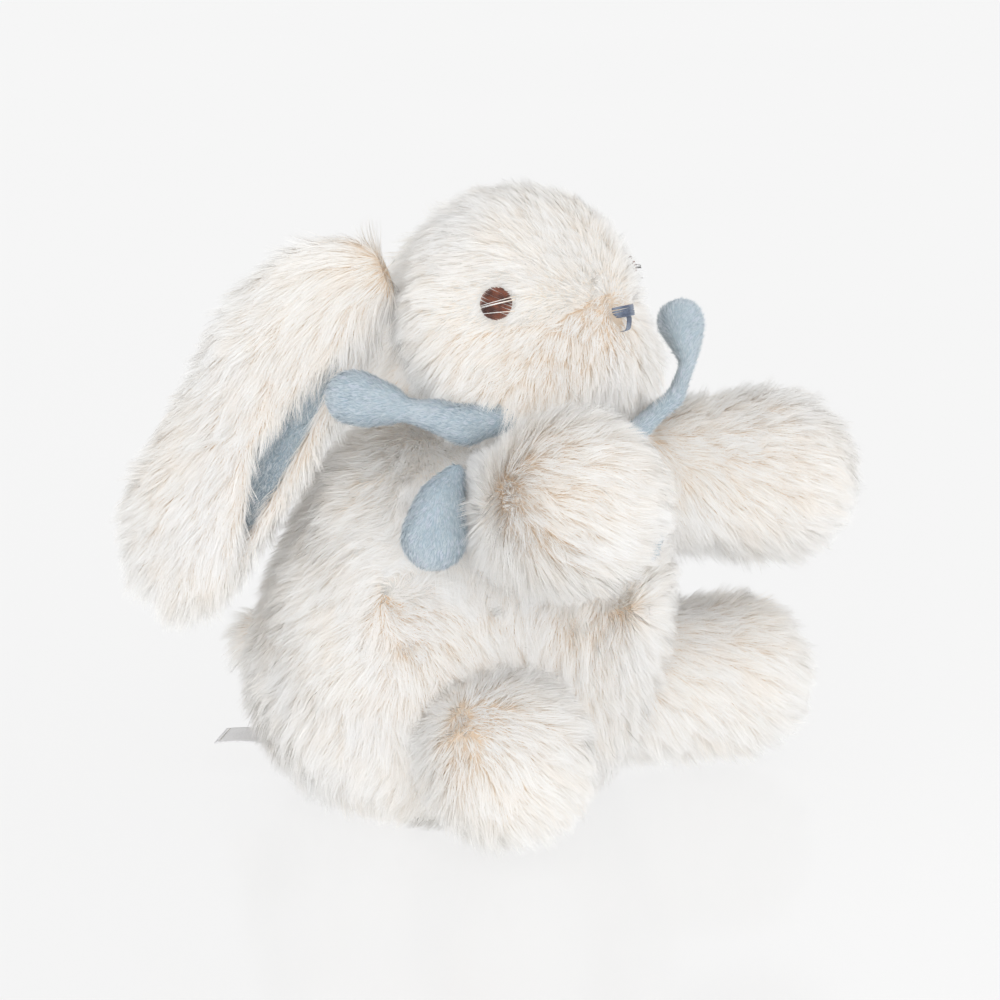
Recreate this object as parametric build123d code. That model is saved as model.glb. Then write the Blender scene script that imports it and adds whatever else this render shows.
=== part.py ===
"""Seated plush bunny with lop ears, a neck bow and a bean-filled seat.

Millimetres. +Z is up, the bunny faces -Y, and its right side is -X. The origin is on
the floor, at the centre of the flat seat. Each fabric skin is a closed shell that
ends half way up its pile, with the filling as a separate solid inside it.
"""
import os
from math import asin, atan2, cos, radians, sin, sqrt

from build123d import *

# ---- driving dimensions ----------------------------------------------------------
SKIN = 2.0                    # fabric backing with the dense root of the pile
FILL_GAP = 0.3                # slack between a skin and its filling
JOINT_GAP = 0.5               # slack round the neck, the ear roots and the neck ribbon

SEAT_CENTRE = Vector(0, 3, 33)
SEAT_SEMI = (54, 52, 42)
CHEST_CENTRE = Vector(0, -6, 62)
CHEST_SEMI = (51, 48, 46)

NECK_PIVOT = Vector(0, -15, 100)
NECK_RADIUS = 14
HEAD_CENTRE = Vector(0, -18, 131)
HEAD_SEMI = (34, 30.5, 31)
HEAD_DISH_GAP = 5.5           # room over the shoulders for the head to turn and nod
MUZZLE_CENTRE = Vector(0, -40, 122)
MUZZLE_SEMI = (17, 11, 12)

EYE_RADIUS = 3.9
EYE_PROUD = 1.0
EYE_POINT = Vector(30, -31.5, 137.5)
NOSE_CENTRE = Vector(0, -49.0, 131.5)
NOSE_SEMI = (4.6, 2.2, 2.6)

ARM_ROOT_RADIUS = 15
PAW_RADIUS = 20.5
LEG_ROOT_RADIUS = 17
FOOT_RADIUS = 19.5
LIMB_GAP = 1.6                # slack round a limb over its whole swing
ARM_SWING = (-10, 6)          # degrees down and up from the resting pose
LEG_SWING = (0, 12)
TAIL_RADIUS = 8
TAIL_CENTRE = Vector(0, 64.2, 31)

RIBBON_RING_RADIUS = 17.5
RIBBON_RING_Z = 98.0
RIBBON_THICK = 2.2
KNOT_RADIUS = 5.5
KNOT_GAP = 2.5                # room in the chest for the knot to turn with the head

LABEL_SIZE = (12, 16, 0.6)    # across, outward, thick
LABEL_EDGE = Vector(-22.2, 43.2, 12)
LABEL_TURN = 22               # degrees the label points away from straight back
BEAN_SEMI = (27, 27, 12)
BEAN_CENTRE = Vector(0, 10, 16.5)
SEAM_WIDTH = 0.9
SEAM_DEPTH = 0.8
SEAM_SPAN = (40, 66)          # heights between which the back was closed by hand

SIDES = {"right": -1, "left": 1}

ARM_ROOT = {"right": Vector(-25, -37, 84), "left": Vector(32, -36, 84)}
PAW_CENTRE = {"right": Vector(-42, -62, 94), "left": Vector(55, -60, 83)}
LEG_ROOT = {"right": Vector(-30, -31, 27), "left": Vector(36, -31, 26)}
FOOT_CENTRE = {"right": Vector(-44, -44, 27), "left": Vector(58, -47, 26)}

# One ear section is: centre, width direction, half width, half thickness.
EAR_SECTIONS = [
    ((-25, 5.5, 141), (-0.15, 0.25, 0.96), 8.0, 4.2),
    ((-28.7, 15.7, 136.3), (-0.10, 0.42, 0.90), 15.0, 5.4),
    ((-35.1, 28.2, 120.9), (0.02, 0.68, 0.73), 21.0, 6.8),
    ((-43.1, 37.3, 98.9), (0.10, 0.88, 0.46), 22.0, 7.5),
    ((-48.0, 48.4, 79.8), (0.12, 0.95, 0.28), 23.0, 7.5),
    ((-49.5, 57.2, 64.2), (0.12, 0.97, 0.20), 18.0, 6.0),
    ((-50.2, 61.6, 56.6), (0.12, 0.97, 0.18), 9.0, 3.2),
]
EAR_PIVOT = Vector(-23, 3, 141)
EAR_ROOT_RADIUS = 8
EAR_OPENING = [0.5, 0.8, 1.0, 0.3]   # how far the fold is open at sections 2 to 5
LINING_INSET = 0.88           # lining's share of the ear's width
LINING_THICK = 1.2

BOW = {
    "right": {
        "loop": [
            (Vector(-7, -45, 99), 3.2),
            (Vector(-20, -41, 109), 3.4),
            (Vector(-36, -26, 109), 6.0),
            (Vector(-40, -11, 110), 3.0),
            (Vector(-42, 4, 112), 6.8),
        ],
        "tail": [
            (Vector(-44, -29, 97), 2.4),
            (Vector(-49, -28, 91), 5.0),
            (Vector(-52, -28, 82), 7.0),
        ],
    },
    "left": {
        "loop": [
            (Vector(7, -46, 98), 3.2),
            (Vector(28, -48, 106), 5.0),
            (Vector(38, -46, 113), 3.2),
            (Vector(44, -40, 122), 6.3),
        ],
        "tail": [
            (Vector(-1, -53, 90), 2.4),
            (Vector(-2, -57, 85), 4.5),
            (Vector(-3, -60, 76), 6.5),
        ],
    },
}
KNOT_CENTRE = Vector(0, -45, 97)


# ---- helpers ------------------------------------------------------------------------
def ball(centre, radius):
    return Pos(*centre) * Sphere(radius)


def ellipsoid(centre, semi, shrink=0.0):
    size = tuple(s - shrink for s in semi)
    return Pos(*centre) * scale(Sphere(1), by=size)


def taper(start, end, r_start, r_end):
    """A round-ended tapered bar: two balls and the cone that touches both."""
    span = end - start
    length = span.length
    slope = asin((r_end - r_start) / length)
    low = (r_start * cos(slope), -r_start * sin(slope))
    high = (r_end * cos(slope), length - r_end * sin(slope))
    low_mid = (r_start * cos(0.5 * (slope + 1.5708)), -r_start * sin(0.5 * (slope + 1.5708)))
    high_mid = (r_end * cos(0.5 * (1.5708 - slope)), length + r_end * sin(0.5 * (1.5708 - slope)))
    tip = (0, length + r_end)
    base = (0, -r_start)
    edges = [
        ThreePointArc(base, low_mid, low),
        Line(low, high),
        ThreePointArc(high, high_mid, tip),
        Line(tip, base),
    ]
    profile = Plane.XZ * make_face(edges)
    return Plane(origin=start, z_dir=span) * revolve(profile, Axis.Z)


def tapered_chain(points):
    """Round-ended tapered bars joined end to end through (centre, radius) points."""
    bars = [taper(a[0], b[0], a[1], b[1]) for a, b in zip(points, points[1:])]
    chain = bars[0]
    for bar in bars[1:]:
        chain = chain + bar
    return chain


def swung(root, tip, degrees):
    """The tip of a limb raised about its root by an angle."""
    arm = tip - root
    level = sqrt(arm.X ** 2 + arm.Y ** 2)
    angle = atan2(arm.Z, level) + radians(degrees)
    reach = arm.length * cos(angle) / level
    return Vector(root.X + arm.X * reach, root.Y + arm.Y * reach, root.Z + arm.length * sin(angle))


def hollow(make, *args):
    """A skin and the filling inside it, from a maker that takes how far to shrink."""
    skin = make(*args, 0) - make(*args, SKIN)
    filling = make(*args, SKIN + FILL_GAP)
    return skin, filling


def knot_form(grow):
    front = Vector(0, NECK_PIVOT.Y - RIBBON_RING_RADIUS, RIBBON_RING_Z)
    return taper(front, KNOT_CENTRE, RIBBON_THICK + grow, KNOT_RADIUS + grow)


# ---- torso --------------------------------------------------------------------------
def torso_form(shrink):
    chest = ellipsoid(CHEST_CENTRE, CHEST_SEMI, shrink)
    seat = ellipsoid(SEAT_CENTRE, SEAT_SEMI, shrink)
    above = Pos(0, 0, shrink + 100) * Box(300, 300, 200)
    neck = ball(NECK_PIVOT, NECK_RADIUS - shrink)
    dish = ellipsoid(HEAD_CENTRE, HEAD_SEMI, -HEAD_DISH_GAP - shrink)
    form = (chest + seat) & above
    form = form - dish + neck
    ring = Pos(NECK_PIVOT.X, NECK_PIVOT.Y, RIBBON_RING_Z)
    groove_radius = RIBBON_THICK + JOINT_GAP + shrink
    form = form - ring * Torus(RIBBON_RING_RADIUS, groove_radius)
    form = form - knot_form(KNOT_GAP + shrink)
    room = LIMB_GAP + shrink
    for side in SIDES:
        for turn in ARM_SWING:
            tip = swung(ARM_ROOT[side], PAW_CENTRE[side], turn)
            form = form - taper(ARM_ROOT[side], tip, ARM_ROOT_RADIUS + room, PAW_RADIUS + room)
        for turn in LEG_SWING:
            tip = swung(LEG_ROOT[side], FOOT_CENTRE[side], turn)
            form = form - taper(LEG_ROOT[side], tip, LEG_ROOT_RADIUS + room, FOOT_RADIUS + room)
    return form.solids().sort_by(SortBy.VOLUME)[-1]


def torso():
    skin, filling = hollow(torso_form)
    beans = ellipsoid(BEAN_CENTRE, BEAN_SEMI)
    filling = filling - ellipsoid(BEAN_CENTRE, BEAN_SEMI, -FILL_GAP)
    low, high = SEAM_SPAN
    strip = Pos(0, 60, 0.5 * (low + high)) * Box(SEAM_WIDTH, 60, high - low)
    seam = (skin & strip) - torso_form(SEAM_DEPTH)
    return {
        "body_skin": skin - seam,
        "body_stuffing": filling,
        "bean_pouch": beans,
        "closing_seam": seam,
    }


# ---- head ---------------------------------------------------------------------------
def head_form(shrink):
    skull = ellipsoid(HEAD_CENTRE, HEAD_SEMI, shrink)
    muzzle = ellipsoid(MUZZLE_CENTRE, MUZZLE_SEMI, shrink)
    form = skull + muzzle - ball(NECK_PIVOT, NECK_RADIUS + JOINT_GAP + shrink)
    for side in SIDES.values():
        pivot = Vector(-side * EAR_PIVOT.X, EAR_PIVOT.Y, EAR_PIVOT.Z)
        form = form - ball(pivot, EAR_ROOT_RADIUS + JOINT_GAP + 1.0 + shrink)
    return form


def eye(side):
    """A domed disc of satin stitch, let into the skin of the head."""
    point = Vector(side * EYE_POINT.X, EYE_POINT.Y, EYE_POINT.Z)
    out = Vector(point.X - HEAD_CENTRE.X, point.Y - HEAD_CENTRE.Y, point.Z - HEAD_CENTRE.Z)
    seat_plane = Plane(origin=point - out.normalized() * 1.2, z_dir=out)
    disc = extrude(seat_plane * Circle(EYE_RADIUS), 1.2 + EYE_PROUD)
    return fillet(disc.edges().group_by(Axis(point, out))[-1], 0.6)


def head():
    skin, filling = hollow(head_form)
    parts = {"nose": ellipsoid(NOSE_CENTRE, NOSE_SEMI)}
    for name, side in SIDES.items():
        parts["eye_" + name] = eye(side)
    for piece in parts.values():
        skin = skin - piece
        filling = filling - piece
    parts["head_skin"] = skin
    parts["head_stuffing"] = filling
    return parts


# ---- ears ---------------------------------------------------------------------------
def ear_planes():
    """A plane across the ear at each section: X along the width, Y out of the lined side."""
    planes = []
    for index, (centre, width_dir, _, _) in enumerate(EAR_SECTIONS):
        before = Vector(*EAR_SECTIONS[max(index - 1, 0)][0])
        after = Vector(*EAR_SECTIONS[min(index + 1, len(EAR_SECTIONS) - 1)][0])
        along = (after - before).normalized()
        across = Vector(*width_dir)
        across = (across - along * across.dot(along)).normalized()
        planes.append(Plane(origin=Vector(*centre), x_dir=across, z_dir=along))
    return planes


def ear(name):
    """A leaf folded lengthwise: its outer wall stops short, so the lining shows inside."""
    flap_faces = []
    rim_faces = []
    for plane, (_, _, half_width, half_depth) in zip(ear_planes(), EAR_SECTIONS):
        flap_faces.append(plane * Ellipse(half_width, half_depth))
        rim_faces.append(plane * Ellipse(LINING_INSET * half_width, half_depth))
    fold_faces = []
    trim_faces = []
    sections = zip(ear_planes()[1:5], EAR_SECTIONS[1:5], EAR_OPENING)
    for plane, (_, _, half_width, half_depth), share in sections:
        reach = half_width * (1.35 * share - 1)
        middle = 0.5 * (reach - 1.5 * half_width)
        depth_middle = 0.08 * half_depth
        fold = Ellipse(0.5 * (reach + 1.5 * half_width), 0.4 * half_depth)
        fold_faces.append(plane * Pos(middle, depth_middle) * fold)
        trim_width = half_width * (0.7 + 0.6 * share)
        trim = Rectangle(trim_width, 2 * half_depth, align=(Align.MIN, Align.MAX))
        trim_faces.append(plane * Pos(-1.7 * half_width, depth_middle) * trim)
    fold = loft(fold_faces)
    lining = (fold - Pos(-LINING_THICK, 0, 0) * fold) & loft(rim_faces)
    lining = lining.solids().sort_by(SortBy.VOLUME)[-1]
    flap = loft(flap_faces) - fold - loft(trim_faces) + ball(EAR_PIVOT, EAR_ROOT_RADIUS)
    pieces = {"ear_" + name: flap, "ear_lining_" + name: lining}
    if name == "left":
        pieces = {key: mirror(piece, about=Plane.YZ) for key, piece in pieces.items()}
    return pieces


# ---- arms, legs and tail --------------------------------------------------------------
def limb_form(root, tip, r_root, r_tip, shrink):
    return taper(root, tip, r_root - shrink, r_tip - shrink)


def limbs():
    parts = {}
    for name in SIDES:
        arm = (ARM_ROOT[name], PAW_CENTRE[name], ARM_ROOT_RADIUS, PAW_RADIUS)
        leg = (LEG_ROOT[name], FOOT_CENTRE[name], LEG_ROOT_RADIUS, FOOT_RADIUS)
        parts["arm_skin_" + name], parts["arm_stuffing_" + name] = hollow(limb_form, *arm)
        parts["leg_skin_" + name], parts["leg_stuffing_" + name] = hollow(limb_form, *leg)
    tail = (TAIL_CENTRE, (TAIL_RADIUS,) * 3)
    parts["tail_skin"], parts["tail_stuffing"] = hollow(ellipsoid, *tail)
    return parts


# ---- ribbon and label -----------------------------------------------------------------
def bow():
    ring_place = Pos(NECK_PIVOT.X, NECK_PIVOT.Y, RIBBON_RING_Z)
    ring = ring_place * Torus(RIBBON_RING_RADIUS, RIBBON_THICK)
    knot = knot_form(0) - ring
    parts = {"neck_ribbon": ring}
    for name in SIDES:
        loop = tapered_chain(BOW[name]["loop"]) - knot
        parts["bow_loop_" + name] = loop
        parts["bow_tail_" + name] = tapered_chain(BOW[name]["tail"])
    parts["bow_knot"] = knot
    return parts


def label():
    across, outward, thick = LABEL_SIZE
    place = Pos(*LABEL_EDGE) * Rot(0, 0, LABEL_TURN)
    return place * Pos(0, 0.5 * outward, 0) * Box(across, outward, thick)


def main():
    os.makedirs("parts", exist_ok=True)
    nodes = {**torso(), **head(), **ear("right"), **ear("left"), **limbs(), **bow()}
    nodes["care_label"] = label()
    for name, solid in nodes.items():
        export_step(solid, os.path.join("parts", name + ".step"))


main()
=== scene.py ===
"""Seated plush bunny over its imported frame: skins, pile, thread, bow, label and studio.

Lengths are millimetres until a mesh is made. The pile is real geometry: each fibre is a
thin tapered ribbon rooted on its skin, drawn with its neighbours into pointed tufts.
"""
import math

import bmesh
import bpy
import numpy as np
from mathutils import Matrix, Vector, kdtree


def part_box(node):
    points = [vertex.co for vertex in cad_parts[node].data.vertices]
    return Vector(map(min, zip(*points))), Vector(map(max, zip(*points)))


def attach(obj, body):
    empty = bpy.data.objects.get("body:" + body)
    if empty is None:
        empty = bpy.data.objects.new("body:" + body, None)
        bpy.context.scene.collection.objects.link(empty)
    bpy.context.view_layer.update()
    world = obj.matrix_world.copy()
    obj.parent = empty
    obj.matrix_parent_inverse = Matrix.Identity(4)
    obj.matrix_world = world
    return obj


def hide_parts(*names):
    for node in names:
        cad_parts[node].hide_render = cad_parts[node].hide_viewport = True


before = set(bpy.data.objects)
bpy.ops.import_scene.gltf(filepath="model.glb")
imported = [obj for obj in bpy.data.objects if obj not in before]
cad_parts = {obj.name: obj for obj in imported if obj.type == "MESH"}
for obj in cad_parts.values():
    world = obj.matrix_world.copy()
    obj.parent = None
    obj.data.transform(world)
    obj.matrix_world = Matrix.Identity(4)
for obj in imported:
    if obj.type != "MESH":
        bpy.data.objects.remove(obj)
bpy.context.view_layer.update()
MM = 0.001
DENSITY = 1.0
SIDES = {"right": -1.0, "left": 1.0}

# ---- dimensions shared with the CAD -----------------------------------------------
SEAT = ((0, 3, 33), (54, 52, 42))
CHEST = ((0, -6, 62), (51, 48, 46))
SKULL = ((0, -18, 131), (34, 30.5, 31))
MUZZLE = ((0, -40, 122), (17, 11, 12))
CHEEKS = [((18, -36, 116), (15, 12, 13)), ((23, -22, 116), (12, 14, 12))]
NECK = (0, -15, 100)
EYE_POINT = (30, -31.5, 137.5)
NOSE_POINT = (0, -49, 131.5)
ARM = {"right": ((-25, -37, 84), (-42, -62, 94)), "left": ((32, -36, 84), (55, -60, 83))}
LEG = {"right": ((-30, -31, 27), (-44, -44, 27)), "left": ((36, -31, 26), (58, -47, 26))}
ARM_RADII = (15, 20.5)
LEG_RADII = (17, 19.5)
TAIL = (0, 64.2, 31)
TAIL_RADIUS = 8
EAR_SECTIONS = [
    ((-25, 5.5, 141), (-0.15, 0.25, 0.96), 8.0, 4.2),
    ((-28.7, 15.7, 136.3), (-0.10, 0.42, 0.90), 15.0, 5.4),
    ((-35.1, 28.2, 120.9), (0.02, 0.68, 0.73), 21.0, 6.8),
    ((-43.1, 37.3, 98.9), (0.10, 0.88, 0.46), 22.0, 7.5),
    ((-48.0, 48.4, 79.8), (0.12, 0.95, 0.28), 23.0, 7.5),
    ((-49.5, 57.2, 64.2), (0.12, 0.97, 0.20), 18.0, 6.0),
    ((-50.2, 61.6, 56.6), (0.12, 0.97, 0.18), 9.0, 3.2),
]
EAR_PIVOT = (-23, 3, 141)
LABEL_EDGE = (-22.2, 43.2, 12)
LABEL_TURN = math.radians(22)
LABEL_SIZE = (12, 16)

BACKING = 2.4        # the cloth lies this far inside the CAD surface, which is mid-pile
LIMB_BACKING = 0.8   # the same for a limb
LIMB_ROOT_SWELL = 1.5
PILE = 8.4           # length of a full fibre
FIBRE_WIDTH = 0.21


# ---- distance fields ---------------------------------------------------------------
def vec(*v):
    return np.array(v, float)


def length(v):
    return np.sqrt((v * v).sum(-1))


def unit(v):
    return v / np.maximum(length(v), 1e-9)[..., None]


def ellipsoid(p, shape, grow=0.0):
    centre, semi = np.array(shape[0], float), np.array(shape[1], float) + grow
    q = p - centre
    k0 = length(q / semi)
    k1 = np.maximum(length(q / semi ** 2), 1e-6)
    return k0 * (k0 - 1.0) / k1


def bar(p, ends, radii, grow=0.0):
    a, b = np.array(ends[0], float), np.array(ends[1], float)
    t = np.clip(((p - a) @ (b - a)) / ((b - a) @ (b - a)), 0, 1)
    gap = length(p - (a + t[..., None] * (b - a)))
    return gap - (radii[0] + (radii[1] - radii[0]) * t) - grow


def ball(p, centre, radius):
    return length(p - np.array(centre, float)) - radius


def smin(a, b, k):
    h = np.clip(0.5 + 0.5 * (b - a) / k, 0, 1)
    return b + (a - b) * h - k * h * (1 - h)


def smax(a, b, k):
    return -smin(-a, -b, k)


def torso_field(p, grow=-BACKING):
    d = smin(ellipsoid(p, SEAT, grow), ellipsoid(p, CHEST, grow), 16)
    d = smax(d, -ellipsoid(p, SKULL, 2.0), 5)
    d = smin(d, ball(p, NECK, 12), 3)
    for side in SIDES:
        d = smax(d, -ball(p, ARM[side][0], ARM_RADII[0] + 0.6), 4)
        d = smax(d, -ball(p, LEG[side][0], LEG_RADII[0] + 0.6), 4)
    return smax(d, 0.9 - p[..., 2], 5)


def head_field(p, grow=-BACKING):
    d = smin(ellipsoid(p, SKULL, grow), ellipsoid(p, MUZZLE, grow), 9)
    for s in SIDES.values():
        for (x, y, z), semi in CHEEKS:
            d = smin(d, ellipsoid(p, ((s * x, y, z), semi), grow), 8)
    d = smax(d, -ball(p, NECK, 13), 3)
    for s in SIDES.values():
        d = smax(d, -ball(p, (-s * EAR_PIVOT[0], EAR_PIVOT[1], EAR_PIVOT[2]), 8.2), 3)
    return d


# ---- mesh helpers -------------------------------------------------------------------
def make_object(name, verts, faces, smooth=True):
    mesh = bpy.data.meshes.new(name)
    mesh.from_pydata((np.asarray(verts) * MM).tolist(), [], faces)
    if smooth:
        mesh.shade_smooth()
    obj = bpy.data.objects.new(name, mesh)
    bpy.context.scene.collection.objects.link(obj)
    return obj


def star(name, centre, field, level, reach=90.0):
    """A closed skin: from its centre, each ray of an icosphere stops where field turns positive."""
    bm = bmesh.new()
    bmesh.ops.create_icosphere(bm, subdivisions=level, radius=1.0)
    dirs = unit(np.array([v.co[:] for v in bm.verts]))
    faces = [[v.index for v in f.verts] for f in bm.faces]
    bm.free()
    centre = np.array(centre, float)
    low = np.zeros(len(dirs))
    for r in np.arange(2.0, reach, 2.0):
        inside = (field(centre + dirs * r) < 0) & (low >= r - 2.01)
        low = np.where(inside, r, low)
    high = low + 2.0
    for _ in range(10):
        mid = 0.5 * (low + high)
        out = field(centre + dirs * mid[:, None]) > 0
        high = np.where(out, mid, high)
        low = np.where(out, low, mid)
    return make_object(name, centre + dirs * low[:, None], faces)


def coords(mesh):
    co = np.empty(len(mesh.vertices) * 3, np.float32)
    mesh.vertices.foreach_get("co", co)
    return co.reshape(-1, 3).astype(float) / MM


def set_coords(mesh, co):
    mesh.vertices.foreach_set("co", (np.asarray(co) * MM).astype(np.float32).ravel())
    mesh.update()


def vertex_normals(mesh):
    normals = np.empty(len(mesh.vertices) * 3, np.float32)
    mesh.vertices.foreach_get("normal", normals)
    return normals.reshape(-1, 3)


def bake_modifiers(obj):
    graph = bpy.context.evaluated_depsgraph_get()
    mesh = bpy.data.meshes.new_from_object(obj.evaluated_get(graph))
    obj.modifiers.clear()
    obj.data = mesh
    mesh.shade_smooth()


def remesh(obj, voxel):
    mod = obj.modifiers.new("Remesh", "REMESH")
    mod.mode = "VOXEL"
    mod.voxel_size = voxel * MM
    mod.use_smooth_shade = True
    bake_modifiers(obj)


def subdivide(obj, levels=1):
    mod = obj.modifiers.new("Subdivision", "SUBSURF")
    mod.levels = levels
    bake_modifiers(obj)


CLOTH_FRAMES = 20
CLOTH_PRESSURE = 4.0
FLOOR_CLEARANCE = 0.6


def inflate(pieces):
    """Fills the sewn skins with pressure, all in one short cloth run, then caps and applies it.

    pieces is a list of (object, voxel size, furthest a point may move)."""
    for obj, voxel, _ in pieces:
        remesh(obj, voxel)
    starts = [coords(obj.data) for obj, _, _ in pieces]
    for obj, _, _ in pieces:
        cloth = obj.modifiers.new("Cloth", "CLOTH")
        cloth.settings.quality = 4
        cloth.settings.mass = 0.1
        cloth.settings.use_pressure = True
        cloth.settings.uniform_pressure_force = CLOTH_PRESSURE
        cloth.settings.effector_weights.gravity = 0.0
        cloth.collision_settings.use_collision = False
    scene = bpy.context.scene
    for number in range(1, CLOTH_FRAMES + 1):
        scene.frame_set(number)
    graph = bpy.context.evaluated_depsgraph_get()
    moved = [coords(obj.evaluated_get(graph).data) for obj, _, _ in pieces]
    scene.frame_set(1)
    for (obj, _, cap), start, end in zip(pieces, starts, moved):
        obj.modifiers.clear()
        step = end - start
        far = np.maximum(length(step), 1e-9)
        step *= (cap * np.tanh(far / cap) / far)[:, None]
        result = start + step
        result[:, 2] = np.maximum(result[:, 2], FLOOR_CLEARANCE)
        set_coords(obj.data, result)
    for obj, _, _ in pieces:
        subdivide(obj)


# ---- materials ------------------------------------------------------------------------
class Nodes:
    """A short way to write a Principled material's node tree."""

    def __init__(self, name, roughness, specular=0.5, sheen=0.0, sheen_roughness=0.5):
        self.material = bpy.data.materials.new(name)
        self.material.use_nodes = True
        self.tree = self.material.node_tree
        self.shader = self.tree.nodes["Principled BSDF"]
        self.shader.inputs["Roughness"].default_value = roughness
        self.shader.inputs["Specular IOR Level"].default_value = specular
        self.shader.inputs["Sheen Weight"].default_value = sheen
        self.shader.inputs["Sheen Roughness"].default_value = sheen_roughness

    def node(self, kind, links=None, **values):
        node = self.tree.nodes.new(kind)
        for key, value in values.items():
            setattr(node, key, value)
        for key, source in (links or {}).items():
            if isinstance(source, bpy.types.NodeSocket):
                self.tree.links.new(source, node.inputs[key])
            else:
                node.inputs[key].default_value = source
        return node

    def ramp(self, source, stops):
        node = self.node("ShaderNodeValToRGB", {"Fac": source})
        elements = node.color_ramp.elements
        while len(elements) < len(stops):
            elements.new(0.5)
        for element, (place, colour) in zip(elements, stops):
            element.position = place
            element.color = (*colour, 1.0)
        return node.outputs["Color"]

    def mix(self, a, b, amount, blend="MIX"):
        node = self.node("ShaderNodeMix", data_type="RGBA", blend_type=blend)
        for index, source in ((0, amount), (6, a), (7, b)):
            if isinstance(source, bpy.types.NodeSocket):
                self.tree.links.new(source, node.inputs[index])
            elif index == 0:
                node.inputs[0].default_value = source
            else:
                node.inputs[index].default_value = (*source, 1.0)
        return node.outputs[2]

    def noise(self, scale, detail=3.0, roughness=0.55):
        place = self.node("ShaderNodeTexCoord").outputs["Object"]
        node = self.node("ShaderNodeTexNoise", {"Vector": place, "Scale": scale, "Detail": detail,
                                                "Roughness": roughness})
        return node.outputs["Fac"]

    def colour(self, source):
        self.tree.links.new(source, self.shader.inputs["Base Color"])

    def bump(self, height, distance, strength=0.6):
        node = self.node("ShaderNodeBump", {"Height": height, "Strength": strength,
                                            "Distance": distance * MM})
        self.tree.links.new(node.outputs["Normal"], self.shader.inputs["Normal"])


def pile_material(name, root, middle, tip, tint, cool, roughness=0.72, sheen=0.25):
    """Fibres: coloured along their length, darker and warmer at the root as painted shade deep in the pile,
    tuft by tuft and in broad soft patches.
    """
    m = Nodes(name, roughness, specular=0.25, sheen=sheen)
    fibre = m.node("ShaderNodeAttribute", attribute_name="fibre").outputs["Vector"]
    parts = m.node("ShaderNodeSeparateXYZ", {"Vector": fibre}).outputs
    # Painted shade: the root colour darkens each fibre towards its root, where shade gathers deep in the
    # pile.
    along = m.ramp(parts["X"], [(0.0, root), (0.42, middle), (0.85, tip)])
    tufts = m.ramp(parts["Z"], [(0.62, (0.0,) * 3), (0.95, (0.75,) * 3)])
    warm = m.mix(along, tint, tufts)
    patch = m.ramp(m.noise(38.0, 2.0), [(0.42, (0.0,) * 3), (0.72, (0.6,) * 3)])
    tone = m.mix(warm, cool, patch)
    grain = m.ramp(parts["Y"], [(0.0, (0.90,) * 3), (1.0, (1.0,) * 3)])
    m.colour(m.mix(tone, grain, 1.0, "MULTIPLY"))
    return m.material


def knit_material(name, dark, light, scale=900.0, depth=0.35, roughness=0.85):
    """Knitted backing cloth under the pile."""
    m = Nodes(name, roughness, specular=0.2, sheen=0.2)
    place = m.node("ShaderNodeTexCoord").outputs["Object"]
    cells = m.node("ShaderNodeTexVoronoi", {"Vector": place, "Scale": scale}).outputs["Distance"]
    broad = m.noise(60.0)
    base = m.ramp(broad, [(0.3, dark), (0.7, light)])
    shade = m.ramp(cells, [(0.0, (1.0,) * 3), (0.8, (0.86,) * 3)])
    m.colour(m.mix(base, shade, 1.0, "MULTIPLY"))
    m.bump(cells, depth)
    return m.material


def thread_material(name, dark, light, roughness=0.38):
    """Twisted embroidery thread with a soft lustre."""
    m = Nodes(name, roughness, specular=0.5, sheen=0.15)
    fine = m.noise(2600.0, 2.0)
    broad = m.noise(420.0, 2.0)
    base = m.ramp(broad, [(0.35, dark), (0.65, light)])
    shade = m.ramp(fine, [(0.3, (0.78,) * 3), (0.7, (1.0,) * 3)])
    m.colour(m.mix(base, shade, 1.0, "MULTIPLY"))
    m.bump(fine, 0.05, 0.5)
    return m.material


# The first colour of each pile is painted shade at the fibre roots.
FUR = pile_material("white_pile", (0.88, 0.75, 0.61), (0.955, 0.93, 0.89), (0.98, 0.975, 0.962),
                    (0.96, 0.915, 0.86), (0.955, 0.96, 0.965))
BLUE = pile_material("blue_pile", (0.36, 0.46, 0.53), (0.56, 0.65, 0.70), (0.74, 0.79, 0.82),
                     (0.66, 0.70, 0.80), (0.66, 0.73, 0.78), roughness=0.8, sheen=0.35)
# A lighter copy of the blue pile for the ear lining: painted light that lifts the nap out of the shade in
# the ear's fold.
LIGHTENED_LINING_BLUE = pile_material("lining_pile", (0.52, 0.60, 0.65), (0.74, 0.80, 0.83), (0.90, 0.925, 0.94),
                            (0.84, 0.87, 0.93), (0.84, 0.89, 0.92), roughness=0.8, sheen=0.35)
# The white backing is coloured tan as painted shade: it shows only in the gaps between fibres, where shade
# falls.
BACK_CLOTH_PAINTED_SHADE = knit_material("white_backing_painted_shade", (0.80, 0.62, 0.45), (0.88, 0.76, 0.63))
BLUE_CLOTH = knit_material("blue_backing", (0.38, 0.48, 0.56), (0.50, 0.60, 0.66))
FIBREFILL = knit_material("polyester_filling", (0.80, 0.79, 0.76), (0.92, 0.91, 0.89), 300.0, 0.9)
BEAN_CLOTH = knit_material("bean_pouch_cloth", (0.66, 0.62, 0.55), (0.80, 0.77, 0.70), 700.0, 0.5)
EYE_THREAD = thread_material("brown_thread", (0.055, 0.012, 0.006), (0.26, 0.075, 0.035))
NOSE_THREAD = thread_material("slate_thread", (0.10, 0.13, 0.20), (0.28, 0.33, 0.42))
SEAM_THREAD = thread_material("white_thread", (0.78, 0.75, 0.70), (0.92, 0.90, 0.87), 0.5)
SATIN = knit_material("label_satin", (0.80, 0.80, 0.81), (0.90, 0.90, 0.91), 2200.0, 0.06, 0.45)


def paint(obj, material):
    obj.data.materials.clear()
    obj.data.materials.append(material)
    return obj


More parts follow.
